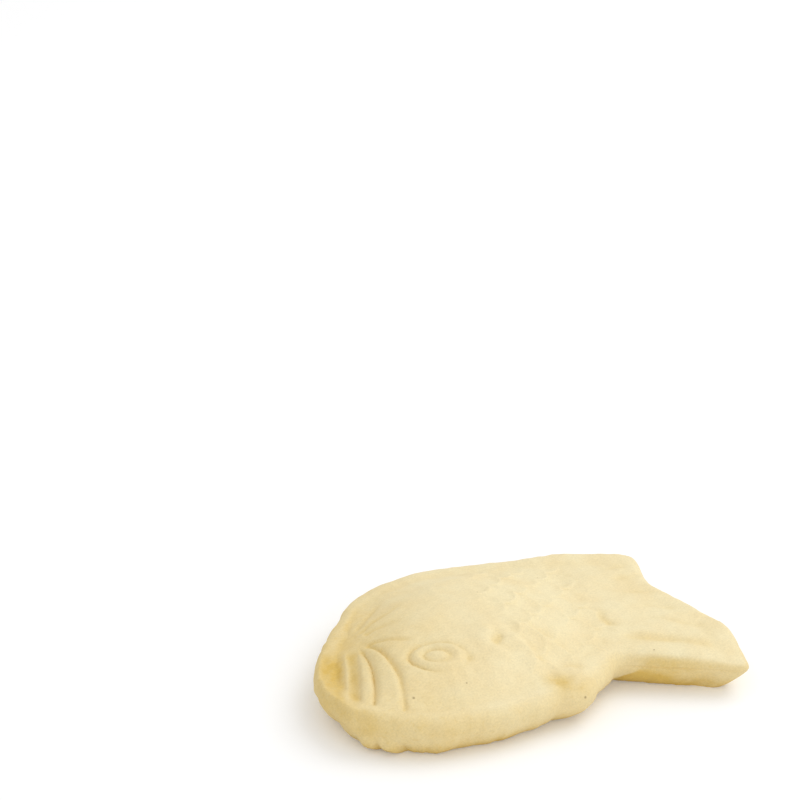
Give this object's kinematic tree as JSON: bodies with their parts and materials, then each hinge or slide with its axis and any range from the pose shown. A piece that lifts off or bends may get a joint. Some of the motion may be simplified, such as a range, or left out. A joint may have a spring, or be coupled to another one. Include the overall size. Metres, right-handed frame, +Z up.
{
  "type": "chopstick rest",
  "caption": "Fish-shaped unglazed ceramic chopstick rest: a relief upper half and a drafted lower half, joined face to face at a level seam, on a flat base.",
  "frame": {"origin": "middle of the outline's bounding box, on the flat base", "axes": "+X from the fish's head to its tail, +Y from its belly to its back, +Z up from the table"},
  "size_m": [0.0597, 0.0401, 0.0102],
  "materials": {
    "fired_clay": "matte"
  },
  "bodies": {
    "root": {"upper_half": "fired_clay", "lower_half": "fired_clay"}
  },
  "joints": []
}
